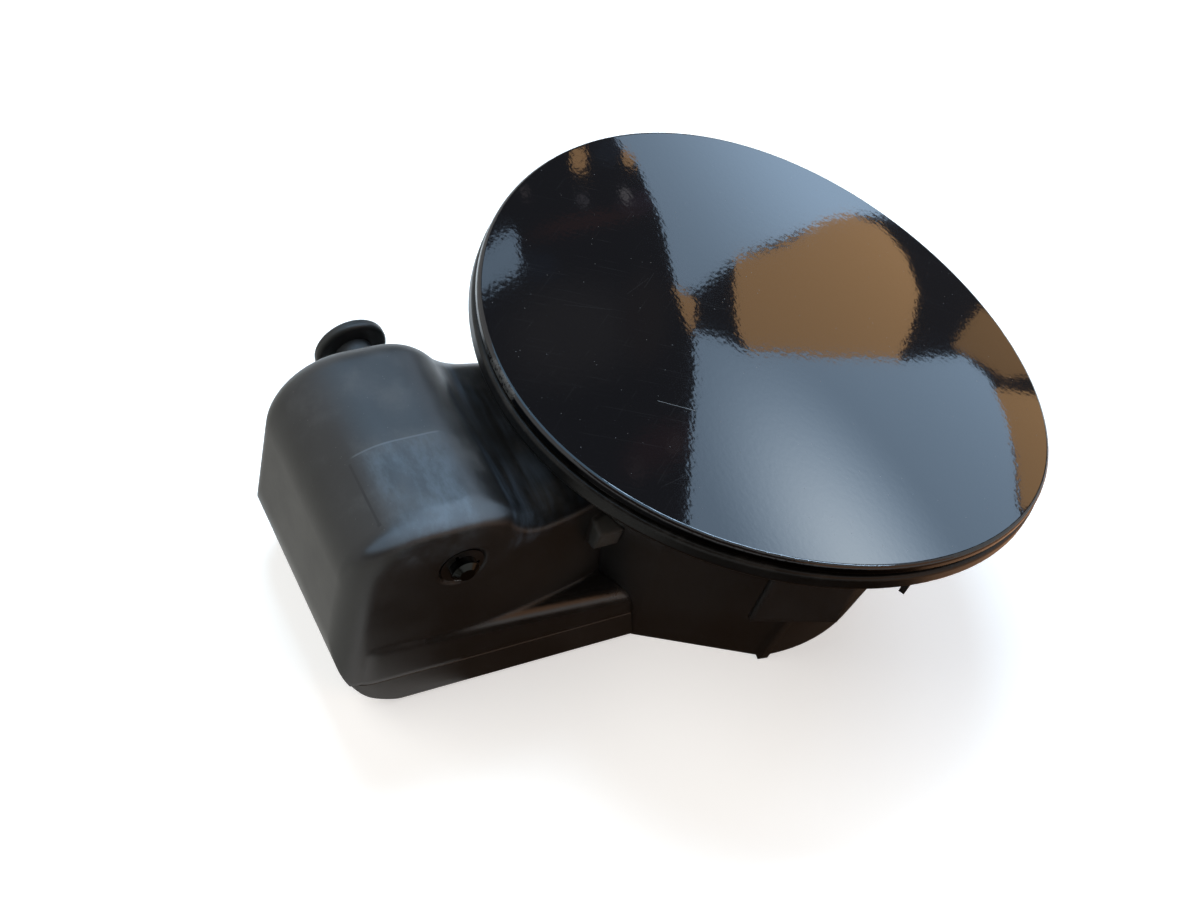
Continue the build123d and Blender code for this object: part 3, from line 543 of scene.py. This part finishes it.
def panel_paint():
    """Gloss black paint with orange peel, dust, hairlines, scratches, a chipped edge and a side darkened as painted
    shade.
    """
    material, tree, shader, place = blank("panel_paint")
    peel = noise(tree, stretched(tree, place, PEEL_STRETCH), *PEEL_NOISE)
    dust = use(tree, "dust", Place=place, Scale=PAINT_DUST_SCALE, Share=PAINT_DUST_SHARE)
    marks = scratch(tree, place, LONG_SCRATCH, LONG_WIDTH)
    for ends in FAINT_SCRATCHES:
        faint = calc(tree, "MULTIPLY", scratch(tree, place, ends, FAINT_WIDTH), FAINT_STRENGTH)
        marks = calc(tree, "MAXIMUM", marks, faint)
    fine, cross = [use(tree, "hairlines", Place=place, Turn=angle, Share=share)["Mask"]
                   for angle, share in HAIRLINE_FIELDS]
    fine = calc(tree, "MULTIPLY", calc(tree, "MAXIMUM", fine, cross), HAIRLINE_STRENGTH)
    worn = calc(tree, "MAXIMUM", marks, fine)
    colour = blend(tree, worn, opaque(PAINT_TONE), opaque(SCRATCH_TONE))
    colour = tint(tree, dust["Specks"], PAINT_DUST_TINT, colour, PAINT_DUST_TONE)
    rough = calc(tree, "MULTIPLY_ADD", worn, SCRATCH_ROUGH, PAINT_ROUGH)
    rough = calc(tree, "MULTIPLY_ADD", dust["Specks"], PAINT_DUST_ROUGH, rough)
    # Chipped stretch of the edge towards the hinge
    x, y = in_millimetres(tree, place, (0, 1))
    ragged = calc(tree, "MULTIPLY_ADD", noise(tree, place, *CHIP_END_NOISE), CHIP_END_DEPTH, y)
    chip = overlap(tree, band(tree, ragged, *CHIP_BAND_Y), ramp(tree, x, *CHIP_RANGE_X),
                   ramp(tree, noise(tree, place, *CHIP_NOISE), *CHIP_RANGE))
    colour = tint(tree, chip, CHIP_TINT, colour, CHIP_TONE)
    rough = calc(tree, "MULTIPLY_ADD", chip, CHIP_ROUGH, rough)
    # Side under the rounded edge: painted shade, a dark metallic tint in place of the lacquer's shine
    rise = split(tree, add(tree, "ShaderNodeTexCoord").outputs["Normal"])[2]
    side = overlap(tree, ramp(tree, rise, *SHADED_SIDE_RANGE), calc(tree, "SUBTRACT", 1.0, chip))
    rough = calc(tree, "MULTIPLY_ADD", side, SHADED_SIDE_ROUGH, rough)
    tree.links.new(side, shader.inputs["Metallic"])
    dress(tree, shader, colour, rough, peel, PEEL_DEPTH)
    return material


def plastic_look(tree, place, tone, rough, dust_share):
    """Colour, roughness and grain shared by the moulded black plastics."""
    grain = use(tree, "grain", Place=place, Scale=PLASTIC_GRAIN_SCALE)
    dust = use(tree, "dust", Place=place, Scale=PLASTIC_DUST_SCALE, Share=dust_share)
    colour = blend(tree, grain["Cloud"], opaque(scaled(tone, PLASTIC_DARKEST)),
                   opaque(scaled(tone, PLASTIC_LIGHTEST)))
    colour = tint(tree, dust["Haze"], PLASTIC_HAZE_TINT, colour, PLASTIC_HAZE_TONE)
    colour = tint(tree, dust["Specks"], PLASTIC_SPECK_TINT, colour, PLASTIC_SPECK_TONE)
    spread = calc(tree, "MULTIPLY_ADD", grain["Cloud"], PLASTIC_CLOUD_ROUGH, rough - PLASTIC_CLOUD_ROUGH / 2)
    spread = calc(tree, "MULTIPLY_ADD", dust["Haze"], PLASTIC_HAZE_ROUGH, spread)
    return colour, spread, grain["Height"]


def moulded_plastic(name, tone, rough, dust_share, shine):
    """Satin moulded plastic with grain and dust."""
    material, tree, shader, place = blank(name)
    shader.inputs["Specular IOR Level"].default_value = shine
    colour, spread, height = plastic_look(tree, place, tone, rough, dust_share)
    dress(tree, shader, colour, spread, height, PLASTIC_GRAIN_DEPTH)
    return material


def insert_mark(tree, place, x, y, z, colour):
    """Scuffed mark on the dome: three straight sides, a torn near side and a fine dark line that ends in a dot."""
    top = ramp(tree, z, *DOME_RANGE_Z)
    torn = calc(tree, "MULTIPLY_ADD", noise(tree, place, *INSERT_TEAR_NOISE), INSERT_TEAR_DEPTH, y)
    insert = overlap(tree, ramp(tree, x, *INSERT_LEFT_RANGE_X), ramp(tree, x, *INSERT_RIGHT_RANGE_X),
                     ramp(tree, y, *INSERT_FAR_RANGE_Y), top, ramp(tree, torn, *INSERT_NEAR_RANGE_Y))
    scuff = ramp(tree, noise(tree, stretched(tree, place, SCUFF_STRETCH), *SCUFF_NOISE), *SCUFF_RANGE)
    strength = calc(tree, "MULTIPLY_ADD", scuff, SCUFF_SPREAD, SCUFF_LEAST)
    edge = overlap(tree, band(tree, y, *INSERT_EDGE_BAND_Y), band(tree, x, *INSERT_EDGE_BAND_X), top)
    line = overlap(tree, band(tree, x, *LINE_BAND_X), band(tree, y, *LINE_BAND_Y), top)
    dot = overlap(tree, band(tree, x, *DOT_BAND_X), band(tree, y, *DOT_BAND_Y), top)
    colour = tint(tree, insert, strength, colour, INSERT_TONE)
    colour = tint(tree, edge, INSERT_EDGE_TINT, colour, INSERT_EDGE_TONE)
    return blend(tree, calc(tree, "MAXIMUM", line, dot), colour, opaque(LINE_TONE))


def crisp_round(tree, normal, where):
    """Normal that turns from the top to the near side over a narrower part of a round."""
    facing = split(tree, normal)
    near = calc(tree, "MULTIPLY", ramp(tree, facing[1], *ROUND_NEAR_RANGE, 0.0, ROUND_SHARE), where)
    change = calc(tree, "SUBTRACT", ramp(tree, facing[2], *ROUND_UP_RANGE), facing[2])
    up = calc(tree, "MULTIPLY_ADD", near, change, facing[2])
    new_flat = calc(tree, "SQRT", calc(tree, "SUBTRACT", 1.0, calc(tree, "MULTIPLY", up, up)))
    flat = calc(tree, "SQRT", calc(tree, "SUBTRACT", JUST_OVER_ONE, calc(tree, "MULTIPLY", facing[2], facing[2])))
    share = calc(tree, "DIVIDE", new_flat, flat)
    return add(tree, "ShaderNodeCombineXYZ", {0: calc(tree, "MULTIPLY", facing[0], share),
                                              1: calc(tree, "MULTIPLY", facing[1], share), 2: up}).outputs[0]


def housing_plastic():
    """Satin black plastic: scuffed insert mark on the dome, smeared saddle with a painted sky reflection, pale lug,
    softened creases.
    """
    material, tree, shader, place = blank("housing_plastic")
    colour, rough, height = plastic_look(tree, place, HOUSING_TONE, HOUSING_ROUGH, HOUSING_DUST_SHARE)
    x, y, z = in_millimetres(tree, place)
    colour = insert_mark(tree, place, x, y, z, colour)
    # Streaks across the saddle: real smears, with a bluish tone that is a painted sky reflection
    saddle = overlap(tree, ramp(tree, x, *SADDLE_LEFT_RANGE_X), ramp(tree, x, *SADDLE_RIGHT_RANGE_X),
                     ramp(tree, z, *SADDLE_RANGE_Z), band(tree, y, *SADDLE_BAND_Y))
    streak = ramp(tree, noise(tree, stretched(tree, place, SMEAR_AND_SHEEN_STRETCH), *SMEAR_AND_SHEEN_NOISE), *SMEAR_AND_SHEEN_RANGE)
    patchy = ramp(tree, noise(tree, place, *SMEAR_AND_SHEEN_PATCH_NOISE), *SMEAR_AND_SHEEN_PATCH_RANGE)
    colour = tint(tree, overlap(tree, saddle, streak, patchy), SMEAR_AND_SKY_SHEEN_TINT, colour, SMEAR_AND_SKY_SHEEN_TONE)
    rough = calc(tree, "MULTIPLY_ADD", saddle, SADDLE_ROUGH, rough)
    # Lug under the door, coloured a paler grey
    bend = calc(tree, "DIVIDE", calc(tree, "POWER", calc(tree, "ADD", x, WALL_BEND_X), 2.0), WALL_BEND)
    proud = calc(tree, "SUBTRACT", calc(tree, "SUBTRACT", bend, y), WALL_HALF_Y)
    lug = overlap(tree, ramp(tree, proud, *LUG_PROUD_RANGE), band(tree, x, *LUG_BAND_X), band(tree, z, *LUG_BAND_Z))
    colour = tint(tree, lug, LUG_TINT, colour, LUG_TONE)
    # Crease between the near wall and the ledge, rubbed smoother
    soft = add(tree, "ShaderNodeBevel", {"Radius": CREASE_RADIUS * MM}, samples=CREASE_SAMPLES).outputs[0]
    towards = vector_sum(tree, "DOT_PRODUCT", soft, CREASE_FACING, 1)
    rubbed = overlap(tree, ramp(tree, towards, *CREASE_FACING_RANGE), band(tree, z, *CREASE_BAND_Z),
                     ramp(tree, x, *CREASE_RANGE_X))
    rough = calc(tree, "MULTIPLY_ADD", rubbed, CREASE_ROUGH, rough)
    normal = crisp_round(tree, soft, ramp(tree, z, *ROUND_RANGE_Z))
    dress(tree, shader, colour, rough, height, PLASTIC_GRAIN_DEPTH, normal)
    return material


def plated_steel(name, tone, rough):
    """Plated steel with slight clouding and fine wear."""
    material, tree, shader, place = blank(name)
    grain = use(tree, "grain", Place=place, Scale=STEEL_GRAIN_SCALE)
    colour = blend(tree, grain["Cloud"], opaque(scaled(tone, STEEL_DARKEST)), opaque(tone))
    spread = calc(tree, "MULTIPLY_ADD", grain["Cloud"], STEEL_CLOUD_ROUGH, rough)
    shader.inputs["Metallic"].default_value = 1.0
    dress(tree, shader, colour, spread, grain["Height"], STEEL_GRAIN_DEPTH)
    return material


def pin_finish():
    """Dark steel pin, and its mushroom head on the far side with a grey stem and a black cap."""
    material, tree, shader, place = blank("pin_steel")
    grain = use(tree, "grain", Place=place, Scale=STEEL_GRAIN_SCALE)
    y, = in_millimetres(tree, place, (1,))
    head = ramp(tree, y, *PIN_HEAD_RANGE_Y)
    cap = ramp(tree, y, *PIN_CAP_RANGE_Y)
    steel, stem, black = [blend(tree, grain["Cloud"], opaque(dark), opaque(light))
                          for dark, light in (PIN_STEEL_TONES, PIN_STEM_TONES, PIN_CAP_TONES)]
    colour = blend(tree, head, steel, blend(tree, cap, stem, black))
    shader.inputs["Specular IOR Level"].default_value = PIN_SHINE
    rough = calc(tree, "MULTIPLY_ADD", head, PIN_HEAD_ROUGH, PIN_ROUGH)
    tree.links.new(calc(tree, "SUBTRACT", 1.0, head), shader.inputs["Metallic"])
    dress(tree, shader, colour, rough, grain["Height"], PIN_GRAIN_DEPTH)
    return material


def soft_rubber(name, tone, rough):
    """Matt rubber with a faint bloom."""
    material, tree, shader, place = blank(name)
    grain = use(tree, "grain", Place=place, Scale=RUBBER_GRAIN_SCALE)
    colour = blend(tree, grain["Cloud"], opaque(tone), opaque(scaled(tone, RUBBER_LIGHTEST)))
    spread = calc(tree, "MULTIPLY_ADD", grain["Cloud"], RUBBER_CLOUD_ROUGH, rough)
    dress(tree, shader, colour, spread, grain["Height"], RUBBER_GRAIN_DEPTH)
    return material


def dress_pieces():
    """Each CAD piece gets its material."""
    made = {"panel_paint": panel_paint(), "housing_plastic": housing_plastic(), "pin_steel": pin_finish()}
    for maker, looks in ((moulded_plastic, PLASTICS), (soft_rubber, RUBBERS), (plated_steel, STEELS)):
        for name, look in looks.items():
            made[name] = maker(name, *look)
    for name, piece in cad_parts.items():
        piece.data.materials.clear()
        piece.data.materials.append(made[PIECE_MATERIALS.get(name, SCREW_MATERIAL)])


def place_camera():
    """Camera where the photograph was taken from."""
    forward = CAMERA_UP.cross(CAMERA_RIGHT)
    attitude = Matrix((CAMERA_RIGHT, CAMERA_UP, -forward)).transposed()
    lens = bpy.data.cameras.new("photo_camera")
    lens.lens = CAMERA_LENS
    lens.sensor_width = CAMERA_SENSOR
    lens.clip_start = CAMERA_NEAREST
    camera = bpy.data.objects.new("photo_camera", lens)
    bpy.context.scene.collection.objects.link(camera)
    camera.matrix_world = Matrix.Translation(CAMERA_PLACE) @ attitude.to_4x4()
    bpy.context.scene.camera = camera


def seen_directly(tree):
    """One for rays from the camera, from mirrors and through clear pieces, and zero for diffuse light."""
    path = tree.nodes.new("ShaderNodeLightPath").outputs
    direct = calc(tree, "MAXIMUM", path["Is Camera Ray"], path["Is Glossy Ray"])
    return calc(tree, "MAXIMUM", direct, path["Is Transmission Ray"])


def pale_floor():
    """Floor that lifts towards white for the camera and for mirrors, and keeps the shadow."""
    bpy.ops.mesh.primitive_plane_add(size=FLOOR_SIZE, location=(0, 0, cad_low.z - FLOOR_GAP))
    floor = bpy.context.object
    floor.name = "floor"
    material, tree = empty_material("pale_floor")
    lift = calc(tree, "MULTIPLY", seen_directly(tree), FLOOR_LIFT)
    matt = add(tree, "ShaderNodeBsdfDiffuse", {"Color": opaque(FLOOR_TONE)})
    light = add(tree, "ShaderNodeEmission", {"Color": opaque(WHITE), "Strength": lift})
    show(tree, add(tree, "ShaderNodeAddShader", {0: matt.outputs[0], 1: light.outputs[0]}).outputs[0])
    floor.data.materials.append(material)


def white_world():
    """White behind everything the camera and mirrors see, and a cool ambient for the rest."""
    world = bpy.data.worlds.new("studio")
    world.use_nodes = True
    tree = world.node_tree
    tree.nodes.clear()
    ambient = add(tree, "ShaderNodeBackground", {"Color": opaque(AMBIENT_TONE), "Strength": AMBIENT_LEVEL})
    white = add(tree, "ShaderNodeBackground", {"Color": opaque(WHITE), "Strength": 1.0})
    mixed = add(tree, "ShaderNodeMixShader", {0: seen_directly(tree), 1: ambient.outputs[0], 2: white.outputs[0]})
    show(tree, mixed.outputs[0], "ShaderNodeOutputWorld")
    bpy.context.scene.world = world


def card_plane(azimuth, elevation, distance=CARD_DISTANCE):
    """Plane that faces the door's centre: its middle, right and up."""
    a, e = math.radians(azimuth), math.radians(elevation)
    out = Vector((math.cos(e) * math.cos(a), math.cos(e) * math.sin(a), math.sin(e)))
    right = Vector((math.sin(a), -math.cos(a), 0.0))
    up = out.cross(right) * -1.0
    return MIRROR_CENTRE + out * distance, right, up


def on_plane(plane, across, rise):
    """Point given in millimetres across and up a plane."""
    middle, right, up = plane
    return middle + right * across * MM + up * rise * MM


def card(name, corners, plane, material, ahead=0.0):
    """Flat card with its corners given on its plane, moved ahead towards the door."""
    toward = (MIRROR_CENTRE - plane[0]).normalized() * ahead
    bpy.ops.mesh.primitive_circle_add(vertices=len(corners), fill_type="NGON")
    made = bpy.context.object
    made.name = name
    for vertex, (across, rise) in zip(made.data.vertices, corners):
        vertex.co = on_plane(plane, across, rise) + toward
    made.data.materials.append(material)
    made.visible_camera = False
    made.visible_shadow = False
    return made


def glow(name, tone, level):
    """Material of a card that only shows its own light."""
    material, tree = empty_material(name)
    show(tree, add(tree, "ShaderNodeEmission", {"Color": opaque(tone), "Strength": level}).outputs["Emission"])
    return material


def sky_glow(name, plane, level, bright_spot, bright_tone, boost, reach):
    """Material of a sky pane, stronger around a bright point."""
    material, tree = empty_material(name)
    place = tree.nodes.new("ShaderNodeTexCoord").outputs["Object"]
    away = vector_sum(tree, "DISTANCE", place, tuple(on_plane(plane, *bright_spot)), 1)
    near = ramp(tree, away, reach, 0.0)
    strength = calc(tree, "MULTIPLY_ADD", near, level * boost, level)
    colour = blend(tree, near, opaque(SKY_TONE), opaque(bright_tone))
    show(tree, add(tree, "ShaderNodeEmission", {"Color": colour, "Strength": strength}).outputs["Emission"])
    return material


def soft_patch(name, tone, spot, along, across, plane, ahead):
    """Patch of light that fades out to an oval with the given half axes."""
    right, up = plane[1:]
    area = along[0] * across[1] - along[1] * across[0]
    first = (right * across[1] - up * across[0]) / (area * MM)
    second = (up * along[0] - right * along[1]) / (area * MM)
    material, tree = empty_material(name)
    place = tree.nodes.new("ShaderNodeTexCoord").outputs["Object"]
    away = vector_sum(tree, "SUBTRACT", place, tuple(on_plane(plane, *spot)))
    shares = [vector_sum(tree, "DOT_PRODUCT", away, tuple(axis), 1) for axis in (first, second)]
    squares = calc(tree, "MULTIPLY_ADD", shares[0], shares[0], calc(tree, "MULTIPLY", shares[1], shares[1]))
    cover = ramp(tree, calc(tree, "SQRT", squares), *PATCH_FADE)
    clear = tree.nodes.new("ShaderNodeBsdfTransparent")
    shine = add(tree, "ShaderNodeEmission", {"Color": opaque(tone), "Strength": 1.0})
    show(tree, add(tree, "ShaderNodeMixShader", {0: cover, 1: clear.outputs[0], 2: shine.outputs[0]}).outputs[0])
    corners = [(spot[0] + i * along[0] + j * across[0], spot[1] + i * along[1] + j * across[1])
               for i, j in ((-1, -1), (1, -1), (1, 1), (-1, 1))]
    card(name, corners, plane, material, ahead)


def mirrored_cards():
    """What the door mirrors towards the camera: sky panes, walls, soft patches and the dark wall behind."""
    plane = card_plane(*CARD_PLANES["mirror"])
    for name, light, corners in SKY_PANES:
        card(name, corners, plane, sky_glow(name + "_card", plane, *light))
    lights = {name: glow(name + "_card", *light) for name, light in WALL_LIGHTS.items()}
    for name, light, corners in WALL_CARDS:
        card(name, corners, plane, lights[light], WALLS_AHEAD)
    for order, patch in enumerate(SOFT_PATCHES):
        soft_patch(*patch, plane, PATCHES_AHEAD + PATCH_STEP * order)
    card("shade_wall", SHADE_CORNERS, plane, glow("shade_card", SHADE_TONE, SHADE_LEVEL), SHADE_AHEAD)


def surround_cards():
    """Cards round the part and on the floor, kept out of the diffuse light."""
    planes = {name: card_plane(*angles) for name, angles in CARD_PLANES.items()}
    ground = Vector((MIRROR_CENTRE.x, MIRROR_CENTRE.y, cad_low.z + FLOOR_GAP))
    planes["floor"] = ground, Vector((1.0, 0.0, 0.0)), Vector((0.0, 1.0, 0.0))
    for name, plane, tone, level, corners in SURROUND_CARDS:
        made = card(name, corners, planes[plane], glow(name + "_card", tone, level))
        made.visible_diffuse = False


def softbox(name, azimuth, elevation, distance, width, height, power, tone):
    """Area lamp that faces the door's centre and that no mirror shows."""
    middle, right, up = card_plane(azimuth, elevation, distance)
    lamp = bpy.data.lights.new(name, "AREA")
    lamp.shape = "RECTANGLE"
    lamp.size = width
    lamp.size_y = height
    lamp.energy = power
    lamp.color = tone
    made = bpy.data.objects.new(name, lamp)
    bpy.context.scene.collection.objects.link(made)
    out = (middle - MIRROR_CENTRE).normalized()
    made.matrix_world = Matrix.Translation(middle) @ Matrix((-right, up, out)).transposed().to_4x4()
    made.visible_camera = False
    made.visible_glossy = False


bpy.context.scene.view_settings.view_transform = "Standard"
dress_pieces()
place_camera()
pale_floor()
white_world()
mirrored_cards()
surround_cards()
for lamp_values in LAMPS:
    softbox(*lamp_values)
